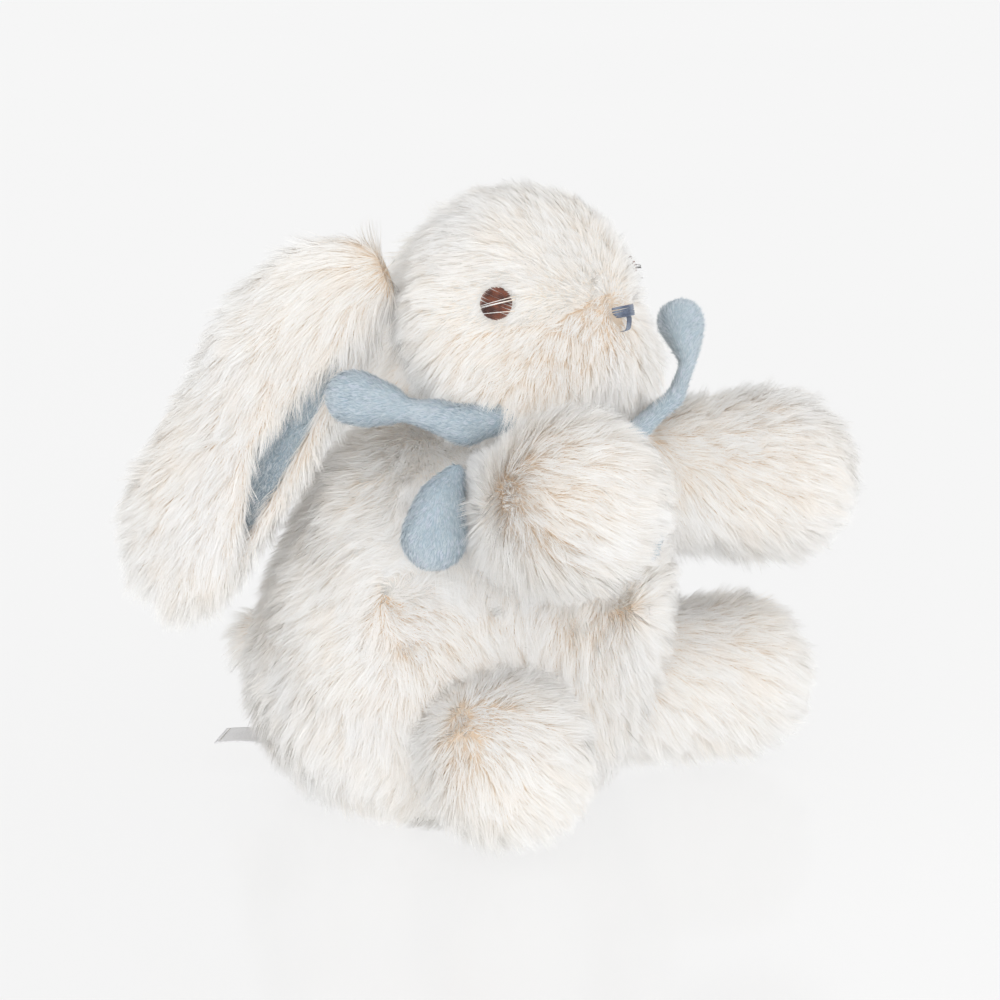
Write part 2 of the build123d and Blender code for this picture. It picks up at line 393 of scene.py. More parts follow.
# ---- pile ---------------------------------------------------------------------------
def triangles(obj):
    """Corner positions and corner normals of an object's triangles."""
    mesh = obj.data
    mesh.calc_loop_triangles()
    tris = np.empty(len(mesh.loop_triangles) * 3, np.int32)
    mesh.loop_triangles.foreach_get("vertices", tris)
    tris = tris.reshape(-1, 3)
    return coords(mesh)[tris], vertex_normals(mesh).astype(float)[tris]


def scatter(surface, per_mm2, rng):
    """Evenly random points on the triangles, with smooth normals."""
    corners, normals = surface
    cross = np.cross(corners[:, 1] - corners[:, 0], corners[:, 2] - corners[:, 0])
    area = 0.5 * length(cross)
    count = int(area.sum() * per_mm2)
    pick = np.searchsorted(np.cumsum(area), rng.random(count) * area.sum())
    pick = np.minimum(pick, len(area) - 1)
    u, v = rng.random(count), rng.random(count)
    fold = u + v > 1
    u, v = np.where(fold, 1 - u, u), np.where(fold, 1 - v, v)
    weights = np.stack([1 - u - v, u, v], 1)[:, :, None]
    return (corners[pick] * weights).sum(1), unit((normals[pick] * weights).sum(1))


def wobble(p, pitch, seed):
    """A smooth random direction field, a few pitches across."""
    rng = np.random.default_rng(seed)
    total = np.zeros_like(p)
    for _ in range(4):
        wave = unit(rng.normal(size=3)) * (2 * math.pi / pitch) * rng.uniform(0.6, 1.4)
        total += np.sin(p @ wave + rng.uniform(0, 6.28))[:, None] * unit(rng.normal(size=3))
    return total * 0.5


def ribbons(name, paths, roll_base, normals, fibre, width, material):
    """Tapered ribbons along (N, K, 3) paths; fibre holds two random numbers a strand."""
    count, rings, _ = paths.shape
    tangents = np.gradient(paths, axis=1)
    shape = np.linspace(1.0, 0.45, rings - 1) * 0.5 * width
    half = roll_base[:, None, :] * shape[None, :, None]
    body = paths[:, :-1]
    pairs = np.stack([body - half, body + half], 2).reshape(count, -1, 3)
    verts = np.concatenate([pairs, paths[:, -1:]], 1)
    per = verts.shape[1]
    facing = np.cross(np.broadcast_to(roll_base[:, None], tangents.shape), tangents)
    facing = unit(facing)
    sign = np.sign((facing * normals[:, None]).sum(-1, keepdims=True))
    facing *= np.where(sign == 0, 1, sign)
    shading = unit(0.55 * normals[:, None] + 0.45 * facing)
    shading = np.concatenate([np.repeat(shading[:, :-1], 2, axis=1), shading[:, -1:]], 1)
    quads = np.array([[2 * i, 2 * i + 1, 2 * i + 3, 2 * i + 2] for i in range(rings - 2)]).ravel()
    local = np.concatenate([quads, [per - 3, per - 2, per - 1]])
    starts = np.concatenate([np.arange(rings - 2) * 4, [(rings - 2) * 4]])
    loops = (np.arange(count)[:, None] * per + local[None]).ravel()
    polys = (np.arange(count)[:, None] * len(local) + starts[None]).ravel()
    mesh = bpy.data.meshes.new(name)
    mesh.vertices.add(count * per)
    mesh.loops.add(len(loops))
    mesh.polygons.add(len(polys))
    mesh.vertices.foreach_set("co", (verts * MM).astype(np.float32).ravel())
    mesh.loops.foreach_set("vertex_index", loops.astype(np.int32))
    mesh.polygons.foreach_set("loop_start", polys.astype(np.int32))
    along = np.concatenate([np.repeat(np.linspace(0, 1, rings)[:-1], 2), [1.0]])
    data = np.empty((count, per, 3), np.float32)
    data[:, :, 0] = along[None]
    data[:, :, 1:] = fibre[:, None, :]
    mesh.update(calc_edges=True)
    mesh.shade_smooth()
    mesh.attributes.new("fibre", "FLOAT_VECTOR", "POINT").data.foreach_set("vector", data.ravel())
    mesh.normals_split_custom_set_from_vertices(shading.reshape(-1, 3).tolist())
    obj = bpy.data.objects.new(name, mesh)
    bpy.context.scene.collection.objects.link(obj)
    return paint(obj, material)


def grow_pile(name, surface, flow, keep, seed, material=FUR, per_mm2=6.2, pile=PILE, lift=0.55,
              tuft=2.7, draw=0.58, width=FIBRE_WIDTH, rings=4, length_map=None, droop=0.25,
              floor=0.25):
    """Pile over a surface.

    flow gives the nap's direction at points, keep the roots that grow, lift how steeply
    they stand, tuft the spacing of tufts, draw how tightly tips gather, droop the sag."""
    rng = np.random.default_rng(seed)
    roots, normals = scatter(surface, per_mm2 * DENSITY, rng)
    chosen = keep(roots, normals)
    roots, normals = roots[chosen], normals[chosen]
    centres, centre_normals = scatter(surface, 1.0 / tuft ** 2, rng)

    def heading(p, n, jitter):
        lay = flow(p, n)
        lay = unit(lay - n * (lay * n).sum(1)[:, None])
        way = n * lift + lay * (1 - lift) + rng.normal(size=p.shape) * jitter
        return unit(way), lay

    tree = kdtree.KDTree(len(centres))
    for index, point in enumerate(centres):
        tree.insert(point, index)
    tree.balance()
    owner = np.array([tree.find(point)[1] for point in roots])
    tuft_way, _ = heading(centres, centre_normals, 0.26)
    tuft_length = rng.uniform(0.80, 1.12, len(centres))
    tuft_tone = rng.random(len(centres))
    way, lay = heading(roots, normals, 0.15)
    scale = pile * rng.uniform(0.72, 1.0, len(roots))
    local = np.ones(len(roots)) if length_map is None else length_map(roots)
    scale *= local
    under = rng.random(len(roots)) < 0.30
    scale[under] *= 0.62
    gather = draw * rng.uniform(0.72, 1.08, len(roots))
    gather[under] *= 0.35
    gather = np.clip(gather, 0, 0.96)
    tuft_reach = pile * tuft_length[owner] * local
    sag = unit(lay * 0.7 + vec(0, 0, -0.6))
    side = np.cross(way, normals)
    weak = length(side) < 0.05
    side[weak] = np.cross(lay, normals)[weak]
    side = unit(side)
    roll = rng.uniform(-0.8, 0.8, len(roots))[:, None]
    side = side * np.cos(roll) + np.cross(way, side) * np.sin(roll)
    rows = []
    for t in np.linspace(0, 1, rings):
        own = roots + way * (scale * t)[:, None] + sag * (scale * droop * t * t)[:, None]
        lead = centres[owner] + tuft_way[owner] * (tuft_reach * t)[:, None]
        lead = lead + sag * (tuft_reach * droop * t * t)[:, None] + (roots - centres[owner]) * 0.14
        share = (gather * t ** 1.15)[:, None]
        rows.append(own * (1 - share) + lead * share)
    paths = np.stack(rows, 1)
    paths[:, :, 2] = np.maximum(paths[:, :, 2], floor)
    fibre = np.stack([rng.random(len(roots)), tuft_tone[owner]], 1)
    return ribbons(name, paths, side, normals, fibre, width, material)


def finish_piece(obj, body, slot, *nodes, pad=None):
    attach(obj, body)
    if nodes:
        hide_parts(*nodes)
    return obj


# ---- furry bodies ---------------------------------------------------------------------
def limb_skin(name, ends, radii):
    middle = 0.5 * (np.array(ends[0], float) + np.array(ends[1], float))
    fuller = (radii[0] + LIMB_ROOT_SWELL, radii[1])
    return star(name, middle, lambda p: bar(p, ends, fuller, -LIMB_BACKING), 5)


skins = {
    "torso": star("torso_skin", (0, -3, 50), torso_field, 6),
    "head": star("head_skin_cloth", (0, -21, 128), head_field, 6),
}
for side in SIDES:
    skins["arm_" + side] = limb_skin(f"arm_cloth_{side}", ARM[side], ARM_RADII)
    skins["leg_" + side] = limb_skin(f"leg_cloth_{side}", LEG[side], LEG_RADII)
skins["tail"] = star("tail_cloth", TAIL, lambda p: ball(p, TAIL, TAIL_RADIUS - 1.0), 4)
caps = {"torso": (4.5, 2.0), "head": (4.0, 1.0), "tail": (2.0, 0.4)}
inflate([(obj, *caps.get(key, (3.5, 0.9))) for key, obj in skins.items()])

REPLACED = {"torso": "body_skin", "head": "head_skin", "tail": "tail_skin"}
for key, obj in skins.items():
    node = REPLACED.get(key) or key.replace("_", "_skin_")
    finish_piece(paint(obj, BACK_CLOTH_PAINTED_SHADE), key, "fur", node, pad=0.8)


def torso_flow(p, n):
    partings = [(-52, -12, 52), (52, -12, 52), (0, 56, 46), (0, -52, 50)]
    total = np.broadcast_to(vec(0, 0, -0.55), p.shape) + 0.35 * wobble(p, 34, 5)
    for spot in partings:
        gap = p - np.array(spot, float)
        far = length(gap)[:, None]
        total = total + 1.1 * gap / (far + 9.0) * np.exp(-(far / 30) ** 2)
    return total


def torso_keep(p, n):
    ok = (p[:, 2] > 1.6) | (n[:, 2] > -0.75)
    ok &= ellipsoid(p, SKULL) > 3.0
    ok &= ball(p, (0, 55, 31), 3.5) > 0
    for side in SIDES:
        ok &= ball(p, ARM[side][0], ARM_RADII[0] + 1.5) > 0
        ok &= ball(p, LEG[side][0], LEG_RADII[0] + 1.5) > 0
    return ok


def head_flow(p, n):
    gap = p - vec(0, -46, 134)
    down = np.clip((138 - p[:, 2]) / 30, 0, 1)[:, None]
    return unit(gap) + down * vec(0, 0, -1.3) + 0.30 * wobble(p, 26, 11)


def head_keep(p, n):
    ok = (ball(p, NECK, 15.5) > 0) & (ball(p, NOSE_POINT, 2.4) > 0)
    for s in SIDES.values():
        ok &= ball(p, (s * EYE_POINT[0], EYE_POINT[1], EYE_POINT[2]), 4.1) > 0
        ok &= ball(p, (-s * EAR_PIVOT[0], EAR_PIVOT[1], EAR_PIVOT[2]), 6.0) > 0
    return ok


def head_length(p):
    """Shorter on the face, and clipped close round the eyes and nose."""
    near = np.minimum(ball(p, NOSE_POINT, 0), 40)
    for s in SIDES.values():
        near = np.minimum(near, ball(p, (s * EYE_POINT[0], EYE_POINT[1], EYE_POINT[2]), 0))
    face = np.clip((-p[:, 1] - 30) / 14, 0, 1)
    jowl = np.clip((122 - p[:, 2]) / 12, 0, 1)
    nape = np.clip(p[:, 1] / 12, 0, 1)
    return (1.0 - 0.22 * face + 0.40 * jowl + 0.30 * nape) * np.clip(0.35 + (near - 4) / 10, 0.38, 1.0)


def split(surface, axis, at):
    """The triangles on each side of a plane, so that no pile piece gets too heavy."""
    corners, normals = surface
    middle = corners.mean(1)[:, axis]
    return (corners[middle < at], normals[middle < at]), (corners[middle >= at], normals[middle >= at])


body_surface = triangles(skins["torso"])
front, back = split(body_surface, 1, 2.0)
for label, half in (("front", front), ("back", back)):
    near_half, far_half = split(half, 0, 0.0)
    for side, part in (("right", near_half), ("left", far_half)):
        piece = grow_pile(f"body_pile_{label}_{side}", part, torso_flow, torso_keep,
                          seed=100 + len(label) + len(side), pile=PILE, lift=0.50)
        finish_piece(piece, "torso", "fur")

low, high = split(triangles(skins["head"]), 0, 0.0)
for side, part in (("right", low), ("left", high)):
    piece = grow_pile(f"head_pile_{side}", part, head_flow, head_keep, seed=200 + len(side),
                      pile=PILE - 0.6, lift=0.42, length_map=head_length)
    finish_piece(piece, "head", "fur")

ARM_POLE = {"right": vec(-62, -44, 90), "left": vec(30, -34, 88)}
LEG_POLE = {"right": vec(-60, -38, 42), "left": vec(34, -30, 30)}
for seed, side in enumerate(SIDES):
    for limb, ends, radii, poles in (("arm", ARM, ARM_RADII, ARM_POLE), ("leg", LEG, LEG_RADII, LEG_POLE)):
        pole = poles[side]

        def limb_flow(p, n, pole=pole, seed=seed):
            gap = p - pole
            away = gap / (length(gap) + 7.0)[:, None]
            return away + vec(0.18, -0.26, -0.34) + 0.30 * wobble(p, 22, 31 + seed)

        def limb_keep(p, n):
            return torso_field(p) > 0.8

        def sole_length(p, pole=pole):
            """The sole's middle is worn smooth and short."""
            return np.clip(0.50 + (length(p - pole) - 8) / 22, 0.50, 1.0)

        smooth_sole = sole_length if (limb, side) == ("leg", "right") else None
        piece = grow_pile(f"{limb}_pile_{side}", triangles(skins[f"{limb}_{side}"]), limb_flow,
                          limb_keep, seed=300 + seed + len(limb) * 7 + (limb == "leg") * 40,
                          lift=0.46, length_map=smooth_sole)
        finish_piece(piece, f"{limb}_{side}", "fur")

tail_piece = grow_pile("tail_pile", triangles(skins["tail"]), lambda p, n: p - vec(0, 58, 42),
                       lambda p, n: torso_field(p) > 0.5, seed=400, pile=PILE - 1.2, lift=0.6)
finish_piece(tail_piece, "tail", "fur")


# ---- ears -----------------------------------------------------------------------------
def spread(values, count):
    """Catmull-Rom values at count even places along the sections."""
    values = np.array(values, float)
    padded = np.concatenate([values[:1] * 2 - values[1:2], values, values[-1:] * 2 - values[-2:-1]])
    out = []
    for s in np.linspace(0, len(values) - 1 - 1e-6, count):
        i = int(s)
        t = s - i
        a, b, c, d = padded[i:i + 4]
        out.append(0.5 * (2 * b + (c - a) * t + (2 * a - 5 * b + 4 * c - d) * t * t
                          + (3 * b - a - 3 * c + d) * t ** 3))
    return np.array(out)


def ear_frame(count, mirror):
    centres = spread([s[0] for s in EAR_SECTIONS], count)
    across = spread([s[1] for s in EAR_SECTIONS], count)
    widths = spread([s[2] for s in EAR_SECTIONS], count)
    depths = spread([s[3] for s in EAR_SECTIONS], count)
    along = unit(np.gradient(centres, axis=0))
    across = unit(across - along * (across * along).sum(1)[:, None])
    inward = np.cross(along, across)
    if mirror:
        flip = vec(-1, 1, 1)
        centres, across, inward, along = (v * flip for v in (centres, across, inward, along))
    return centres, across, inward, along, widths, depths


EAR_ROWS = 56
EAR_ARC = 44
WALL = 2.4


def ear_arc():
    """Angles of the folded section at each row: the near wall stops short, the far wall runs on."""
    place = np.linspace(0, 1, EAR_ROWS)
    opening = np.interp(place, [0.06, 0.167, 0.333, 0.5, 0.667, 0.74], [0, 0.5, 0.8, 1.0, 0.35, 0])
    near = math.pi - 0.02 - opening * 1.18
    far = math.pi - 0.02 - opening * 0.12
    return place, near, far


def ear_point(data, row, angle, inset):
    centres, across, inward, _, widths, depths = data
    half_w = max(widths[row] - BACKING - inset, 0.4)
    half_d = max(depths[row] - 1.6 - inset * 0.9, 0.25)
    return (centres[row] + across[row] * (half_w * math.cos(angle))
            + inward[row] * (half_d * math.sin(angle)))


for side, sign in SIDES.items():
    data = ear_frame(EAR_ROWS, mirror=sign > 0)
    place, near, far = ear_arc()
    verts = []
    for row in range(EAR_ROWS):
        outer = np.linspace(-near[row], far[row], EAR_ARC)
        inner = np.linspace(far[row] - 0.06, -near[row] + 0.06, EAR_ARC)
        round_end = math.sin(math.pi * min(max((row + 0.5) / EAR_ROWS, 0), 1)) ** 0.25
        verts += [ear_point(data, row, a, 0.0) for a in outer]
        verts += [ear_point(data, row, a, WALL * round_end) for a in inner]
    ring = 2 * EAR_ARC
    faces = []
    for row in range(EAR_ROWS - 1):
        for i in range(ring):
            a, b = row * ring + i, row * ring + (i + 1) % ring
            faces.append([a, b, b + ring, a + ring] if sign < 0 else [a, a + ring, b + ring, b])
    first = list(range(ring))
    last = [(EAR_ROWS - 1) * ring + i for i in range(ring)]
    faces += [first[::-1], last] if sign < 0 else [first, last[::-1]]
    flap = make_object(f"ear_cloth_{side}", verts, faces)
    finish_piece(paint(flap, BACK_CLOTH_PAINTED_SHADE), f"ear_{side}", "fur", f"ear_{side}", pad=0.3)

    # The outer face of the flap, its rims and a narrow turn-in carry the long pile.
    outside = []
    for row in range(EAR_ROWS - 1):
        for i in range(EAR_ARC - 1):
            a = row * ring + i
            quad = [a, a + 1, a + 1 + ring, a + ring]
            outside += [[quad[0], quad[1], quad[2]], [quad[0], quad[2], quad[3]]]
        for i in (EAR_ARC - 1, EAR_ARC, EAR_ARC + 1, ring - 2, ring - 1):
            a, b = row * ring + i, row * ring + (i + 1) % ring
            outside += [[a, b, b + ring], [a, b + ring, a + ring]]
    outside += [[0, i, i + 1] for i in range(1, EAR_ARC - 1)]
    outside = np.array(outside)
    flap_co = coords(flap.data)
    flap_no = vertex_normals(flap.data).astype(float)
    centres = data[0]
    middle_tree = kdtree.KDTree(EAR_ROWS)
    for row in range(EAR_ROWS):
        middle_tree.insert(centres[row], row)
    middle_tree.balance()

    def ear_flow(p, n, data=data, tree=middle_tree):
        rows = np.array([tree.find(point)[1] for point in p])
        offset = ((p - data[0][rows]) * data[1][rows]).sum(1) / data[4][rows]
        out = data[1][rows] * (0.75 * offset)[:, None]
        return data[3][rows] + out + vec(0, 0, -0.15) + 0.22 * wobble(p, 24, 61)

    def ear_length(p, pivot=vec(-sign * EAR_PIVOT[0], EAR_PIVOT[1] + 14, EAR_PIVOT[2] - 2)):
        """Longest round the root, where it closes over the nape."""
        return 1.0 + 0.55 * np.exp(-(length(p - pivot) / 22) ** 2)

    piece = grow_pile(f"ear_pile_{side}", (flap_co[outside], flap_no[outside]), ear_flow,
                      lambda p, n: head_field(p) > -1.0, seed=500 + len(side), lift=0.34,
                      pile=PILE, tuft=3.0, per_mm2=5.6, length_map=ear_length)
    finish_piece(piece, f"ear_{side}", "fur")

    # Blue lining inside the fold.
    rows = [r for r in range(EAR_ROWS) if 0.08 < place[r] < 0.76]
    cols = 30
    lining_verts = []
    for row in rows:
        for a in np.linspace(far[row] - 0.10, -near[row] + 0.45, cols):
            lining_verts.append(ear_point(data, row, a, WALL + 0.35))
    lining_faces = []
    for r in range(len(rows) - 1):
        for c in range(cols - 1):
            a = r * cols + c
            quad = [a, a + 1, a + 1 + cols, a + cols]
            lining_faces.append(quad if sign < 0 else quad[::-1])
    lining = make_object(f"ear_lining_cloth_{side}", lining_verts, lining_faces)
    finish_piece(paint(lining, BLUE_CLOTH), f"ear_{side}", "ear_lining", f"ear_lining_{side}")
    corners = triangles(lining)[0]

    def lining_flow(p, n, data=data, tree=middle_tree):
        near_rows = np.array([tree.find(point)[1] for point in p])
        return data[3][near_rows] * 0.5 - data[1][near_rows] * 0.6 + 0.2 * wobble(p, 12, 71)

    # The lining's nap uses the lighter blue, painted light against the fold's shade.
    nap = grow_pile(f"ear_lining_pile_{side}", triangles(lining), lining_flow,
                    lambda p, n: np.ones(len(p), bool), seed=600 + len(side), material=LIGHTENED_LINING_BLUE,
                    per_mm2=9.0, pile=1.5, lift=0.45, tuft=0.9, draw=0.5, width=0.2, rings=3,
                    droop=0.1)
    finish_piece(nap, f"ear_{side}", "ear_lining")


# ---- bow --------------------------------------------------------------------------------
def plush_over(node, name, body, flow, seed, dents=()):
    """Short blue plush over a copy of a CAD ribbon solid, with soft dents where it is stitched."""
    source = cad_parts[node].data.copy()
    obj = bpy.data.objects.new(name, source)
    bpy.context.scene.collection.objects.link(obj)
    remesh(obj, 1.0)
    mod = obj.modifiers.new("Smooth", "SMOOTH")
    mod.factor = 0.5
    mod.iterations = 10
    bake_modifiers(obj)
    mesh = obj.data
    co = coords(mesh)
    normals = vertex_normals(mesh)
    push = 0.35 * wobble(co, 9, seed)[:, 0] - 0.5
    for spot, radius, depth in dents:
        push -= depth * np.exp(-(ball(co, spot, 0) / radius) ** 2)
    set_coords(mesh, co + normals * push[:, None])
    mesh.shade_smooth()
    finish_piece(paint(obj, BLUE_CLOTH), body, "ribbon", node, pad=0.7)
    nap = grow_pile(name + "_pile", triangles(obj), flow, lambda p, n: np.ones(len(p), bool),
                    seed=seed, material=BLUE, per_mm2=8.0, pile=1.7, lift=0.32, tuft=0.8, draw=0.55,
                    width=0.22, rings=3, droop=0.1)
    finish_piece(nap, body, "ribbon")
    return obj


def along_flow(a, b):
    way = unit(vec(*b) - vec(*a))
    return lambda p, n: way + 0.15 * wobble(p, 10, 3) + vec(0, 0, -0.1)


plush_over("bow_loop_right", "bow_loop_plush_right", "collar", along_flow((-7, -45, 98), (-42, 4, 112)),
           701, [((-38, -2, 111), 8.0, -2.0), ((-37, -27, 102), 6.0, -1.6), ((-36, -27, 116), 7.0, 2.4),
                 ((-47, -2, 113), 3.0, 1.6), ((-21, -41, 111), 9.0, 2.2)])
plush_over("bow_loop_left", "bow_loop_plush_left", "collar", along_flow((7, -46, 98), (44, -40, 122)),
           702, [((28, -48, 106), 13.0, 2.3), ((40, -46, 120), 3.0, 1.3), ((45, -36, 124), 6.0, -1.0)])
plush_over("bow_tail_right", "bow_tail_plush_right", "bow_tail_right",
           along_flow((-44, -29, 97), (-52, -28, 82)), 703,
           [((-50, -28, 84), 14.0, -2.0), ((-59, -31, 86), 2.6, 1.8)])
plush_over("bow_tail_left", "bow_tail_plush_left", "bow_tail_left",
           along_flow((-1, -53, 90), (-3, -60, 76)), 704,
           [((-7, -66, 80), 2.6, 1.4), ((3, -65, 74), 9.0, 4.0)])
plush_over("bow_knot", "bow_knot_plush", "collar", along_flow((-5, -45, 97), (5, -45, 97)), 705)
plush_over("neck_ribbon", "neck_ribbon_plush", "collar", lambda p, n: np.cross(n, vec(0, 0, 1.0)) + 1e-3,
           706)


# ---- embroidery ---------------------------------------------------------------------------
def satin(name, centre, out, up, outline, dome, pitch, radius, tilt, material, body, slot, node):
    """Parallel threads laid over a dome. outline gives the stitched patch's half length at an offset."""
    centre, out = vec(*centre), unit(vec(*out))
    up = unit(vec(*up) - out * (vec(*up) @ out))
    right = np.cross(up, out)
    turn = math.cos(tilt), math.sin(tilt)
    stitch, step = right * turn[0] + up * turn[1], up * turn[0] - right * turn[1]
    verts, faces = [], []
    rng = np.random.default_rng(int(abs(centre[0]) * 10) + 5)
    low, high = outline(None)
    offsets = np.arange(low, high, pitch)
    around = 6
    for offset in offsets:
        start, end = outline(offset)
        if end - start < 0.3:
            continue
        shift = rng.normal(scale=0.06)
        slope = rng.normal(scale=0.025)
        base = len(verts)
        places = np.linspace(start, end, 13)
        for x in places:
            edge = (x - 0.5 * (start + end)) / (0.5 * (end - start))
            height = dome(x, offset) * (1 - edge ** 6) - 0.9 * edge ** 8
            point = centre + stitch * x + step * (offset + shift + slope * x) + out * height
            for k in range(around):
                angle = 2 * math.pi * k / around
                thick = radius * (1.0 - 0.3 * edge ** 8)
                verts.append(point + step * (thick * math.cos(angle)) + out * (thick * math.sin(angle)))
        for i in range(12):
            for k in range(around):
                a, b = base + i * around + k, base + i * around + (k + 1) % around
                faces.append([a, b, b + around, a + around])
    obj = make_object(name, np.array(verts), faces)
    return finish_piece(paint(obj, material), body, slot, *([node] if node else []))


EYE_R = 4.0


def eye_outline(offset):
    if offset is None:
        return -EYE_R + 0.15, EYE_R
    half = math.sqrt(max(EYE_R ** 2 - offset ** 2, 0))
    return -half, half


def nose_outline(offset):
    """The top of the nose: a shallow crescent, wider above."""
    if offset is None:
        return -1.3, 1.2
    half = 4.9 * math.sqrt(max(0.0, 1 - ((offset + 1.3) / 2.6 - 0.75) ** 2))
    return -half, half


def stem_outline(offset):
    """The short upright line under the nose."""
    if offset is None:
        return -0.8, 0.9
    return -2.4, 2.4


for side, s in SIDES.items():
    point = vec(s * EYE_POINT[0], EYE_POINT[1], EYE_POINT[2])
    out = unit(point - vec(*SKULL[0]))
    satin(f"eye_stitch_{side}", point + out * 0.4, out, (0, 0, 1), eye_outline,
          lambda x, y: 1.5 * math.sqrt(max(0.0, 1 - (x * x + y * y) / 18.0)), 0.30, 0.20,
          0.35 * s, EYE_THREAD, "head", "eye_thread", f"eye_{side}")
satin("nose_stitch", (0, -50.6, 133.2), (0, -1, 0.25), (0, 0, 1), nose_outline,
      lambda x, y: 1.4 - 0.13 * x * x, 0.30, 0.21, 0.0, NOSE_THREAD, "head", "nose_thread", "nose")
satin("nose_stem", (0, -50.4, 130.0), (0, -1, -0.1), (0, 0, 1), stem_outline,
      lambda x, y: 1.0 - 0.05 * x * x, 0.30, 0.21, math.pi / 2, NOSE_THREAD, "head", "nose_thread", None)


def stray_fibres():
    """A few white fibres that lie across each eye."""
    rng = np.random.default_rng(77)
    paths, normals, rolls = [], [], []
    for s in SIDES.values():
        point = vec(s * EYE_POINT[0], EYE_POINT[1], EYE_POINT[2])
        out = unit(point - vec(*SKULL[0]))
        right = unit(np.cross(vec(0, 0, 1), out)) * -s
        up = np.cross(out, right) * -s
        up = up if up[2] > 0 else -up
        for rise, fall, height in ((1.0, -1.2, 2.6), (1.3, -0.6, 2.5), (0.9, -1.6, 2.55), (-1.7, -3.2, 2.2)):
            start = point + right * 5.0 + up * (rise + rng.normal(scale=0.2)) + out * 1.6
            end = point - right * 4.6 + up * (fall + rng.normal(scale=0.3)) + out * 1.4
            row = [start + (end - start) * t + out * (height * 4 * t * (1 - t) * 0.42)
                   for t in np.linspace(0, 1, 6)]
            paths.append(row)
            normals.append(out)
            rolls.append(up)
    fibre = rng.random((len(paths), 2)) * 0.4 + 0.2
    obj = ribbons("eye_stray_fibres", np.array(paths), np.array(rolls), np.array(normals), fibre,
                  0.24, FUR)
    return finish_piece(obj, "head", "fur")


stray_fibres()


# ---- closing seam and label -----------------------------------------------------------------
def closing_seam():
    """Ladder stitches up the back, pulled into the backing cloth."""
    lo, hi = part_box("closing_seam")
    heights = np.arange(lo.z / MM, hi.z / MM, 1.6)
    verts, faces = [], []
    for z in heights:
        probe = np.stack([np.zeros(200), np.linspace(20, 70, 200), np.full(200, z)], 1)
        y = probe[:, 1][np.argmax(torso_field(probe) > 0)] + 1.6
        base = len(verts)
        for t in np.linspace(-1, 1, 7):
            point = vec(1.5 * t, y + 0.5 * (1 - t * t), z + 0.5 * t)
            for k in range(6):
                angle = math.pi * k / 3
                verts.append(point + vec(0, 0.22 * math.cos(angle), 0.22 * math.sin(angle)))
        for i in range(6):
            for k in range(6):
                a, b = base + i * 6 + k, base + i * 6 + (k + 1) % 6
                faces.append([a, b, b + 6, a + 6])
    obj = make_object("closing_stitches", verts, faces)
    return finish_piece(paint(obj, SEAM_THREAD), "torso", "seam_thread", "closing_seam")


closing_seam()


def care_label():
    """A blank folded satin label, gently curled, with a stitched hem."""
    wide, tall = LABEL_SIZE
    nx, ny = 13, 25
    turn = vec(-math.sin(LABEL_TURN), math.cos(LABEL_TURN), 0)
    edge = vec(math.cos(LABEL_TURN), math.sin(LABEL_TURN), 0)
    verts = []
    for j in range(ny):
        v = j / (ny - 1)
        for i in range(nx):
            u = i / (nx - 1) - 0.5
            lift = 0.7 * math.sin(2.2 * v) - 1.0 * v * v + 0.5 * u * v
            verts.append(vec(*LABEL_EDGE) + edge * (u * wide) + turn * (v * tall) + vec(0, 0, lift))
    faces = [[j * nx + i, j * nx + i + 1, (j + 1) * nx + i + 1, (j + 1) * nx + i]
             for j in range(ny - 1) for i in range(nx - 1)]
    obj = make_object("label_satin_sheet", verts, faces)
    mod = obj.modifiers.new("Thickness", "SOLIDIFY")
    mod.thickness = 0.3 * MM
    mod.offset = 0.0
    bake_modifiers(obj)
    finish_piece(paint(obj, SATIN), "label", "label", "care_label")
    stitch_verts, stitch_faces = [], []
    for u in np.arange(-5.2, 5.0, 1.0):
        base = len(stitch_verts)
        for t in np.linspace(0, 1, 4):
            v = 0.93
            x = u + 0.62 * t
            lift = 0.7 * math.sin(2.2 * v) - v * v + 0.5 * (x / wide) * v + 0.22
            point = vec(*LABEL_EDGE) + edge * x + turn * (v * tall) + vec(0, 0, lift)
            for k in range(5):
                angle = 2 * math.pi * k / 5
                round_thread = turn * (0.13 * math.cos(angle)) + vec(0, 0, 0.13 * math.sin(angle))
                stitch_verts.append(point + round_thread)
        for i in range(3):
            for k in range(5):
                a, b = base + i * 5 + k, base + i * 5 + (k + 1) % 5
                stitch_faces.append([a, b, b + 5, a + 5])
    stitches = make_object("label_stitches", stitch_verts, stitch_faces)
    finish_piece(paint(stitches, SEAM_THREAD), "label", "label")


care_label()

for node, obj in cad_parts.items():
    if node.endswith("stuffing") or "_stuffing_" in node:
        paint(obj, FIBREFILL)
    elif node == "bean_pouch":
        paint(obj, BEAN_CLOTH)


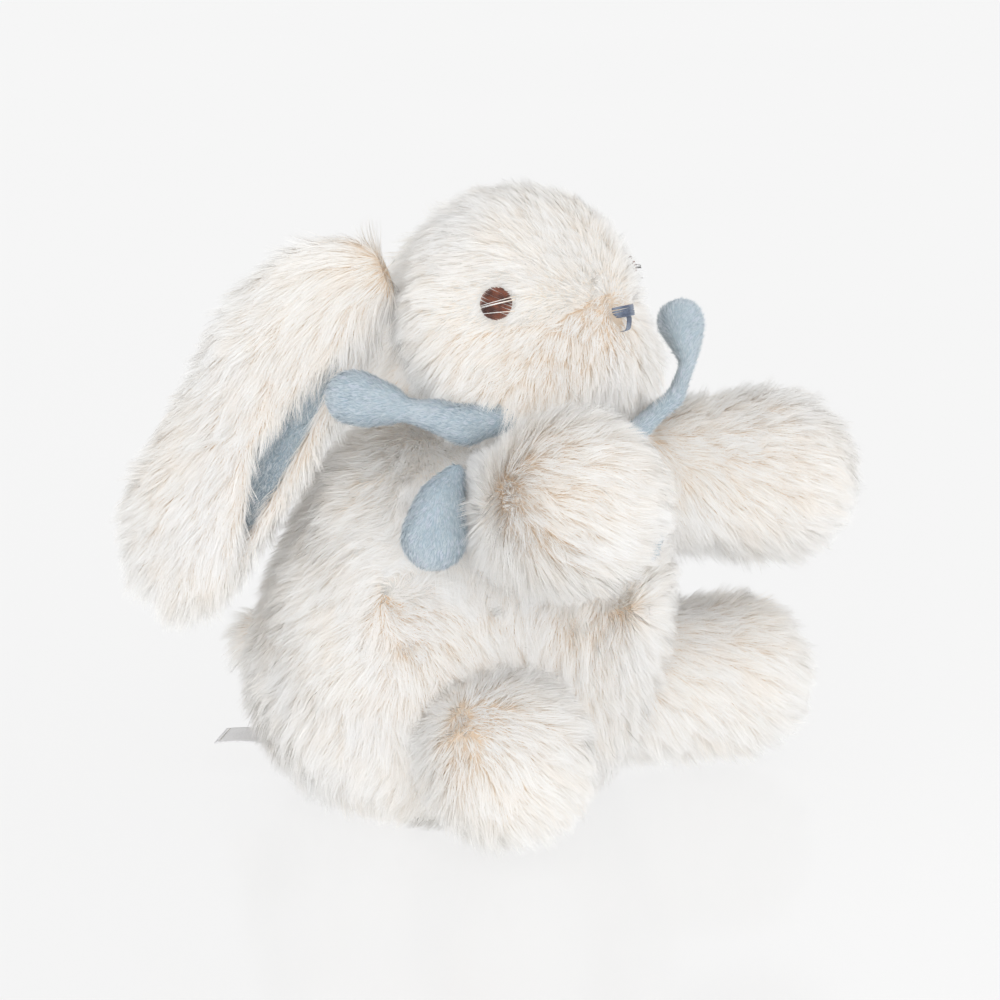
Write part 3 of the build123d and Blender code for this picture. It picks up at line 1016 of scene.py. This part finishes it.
# ---- studio ---------------------------------------------------------------------------------
def studio():
    scene = bpy.context.scene
    scene.view_settings.view_transform = "Standard"
    scene.view_settings.look = "None"
    world = bpy.data.worlds.new("studio")
    world.use_nodes = True
    background = world.node_tree.nodes["Background"]
    sky = world.node_tree.nodes
    place = sky.new("ShaderNodeTexCoord")
    parts = sky.new("ShaderNodeSeparateXYZ")
    ramp = sky.new("ShaderNodeValToRGB")
    low, high = ramp.color_ramp.elements
    low.position, low.color = 0.15, (0.925, 0.925, 0.925, 1.0)
    high.position, high.color = 0.50, (0.66, 0.66, 0.66, 1.0)
    world.node_tree.links.new(place.outputs["Generated"], parts.inputs["Vector"])
    world.node_tree.links.new(parts.outputs["Z"], ramp.inputs["Fac"])
    world.node_tree.links.new(ramp.outputs["Color"], background.inputs["Color"])
    background.inputs["Strength"].default_value = 1.0
    scene.world = world

    size = 8000
    edge = [(-size, -size, 0), (size, -size, 0), (size, size, 0), (-size, size, 0)]
    floor = make_object("floor", edge, [[0, 1, 2, 3]], smooth=False)
    m = Nodes("white_sweep", 0.6, specular=0.0)
    m.colour(m.ramp(m.noise(3.0), [(0.3, (0.155,) * 3), (0.7, (0.160,) * 3)]))
    m.shader.inputs["Emission Color"].default_value = (1.0, 1.0, 1.0, 1.0)
    m.shader.inputs["Emission Strength"].default_value = 0.795
    gloss = m.node("ShaderNodeBsdfGlossy", {"Roughness": 0.16})
    both = m.node("ShaderNodeMixShader", {"Fac": 0.10})
    m.tree.links.new(m.shader.outputs["BSDF"], both.inputs[1])
    m.tree.links.new(gloss.outputs["BSDF"], both.inputs[2])
    m.tree.links.new(both.outputs["Shader"], m.tree.nodes["Material Output"].inputs["Surface"])
    paint(floor, m.material)

    for name, direction, strength, spread_deg, tint, shadow in (
            ("key", (-0.85, -0.25, 1.0), 0.22, 60, (1.0, 0.995, 0.985), True),
            ("fill", (-0.8, -0.75, 0.35), 1.15, 60, (1.0, 0.995, 0.99), False),
            ("rim", (0.9, 0.2, 0.9), 0.35, 60, (0.99, 0.995, 1.0), False),
            ("low", (-0.4, -0.8, -0.5), 0.45, 60, (1.0, 0.995, 0.99), False)):
        light = bpy.data.lights.new(name, "SUN")
        light.energy = strength
        light.angle = math.radians(spread_deg)
        light.color = tint
        light.use_shadow = shadow
        lamp = bpy.data.objects.new(name, light)
        scene.collection.objects.link(lamp)
        lamp.rotation_euler = Vector(direction).to_track_quat("Z", "Y").to_euler()

    camera = bpy.data.cameras.new("camera")
    camera.lens = 144
    camera.sensor_width = 36
    camera.clip_end = 50
    view = bpy.data.objects.new("camera", camera)
    scene.collection.objects.link(view)
    place = Vector((-0.834, -0.575, 0.312))
    target = Vector((0.0058, -0.0086, 0.078))
    view.location = place
    view.rotation_euler = (target - place).to_track_quat("-Z", "Y").to_euler()
    scene.camera = view


studio()
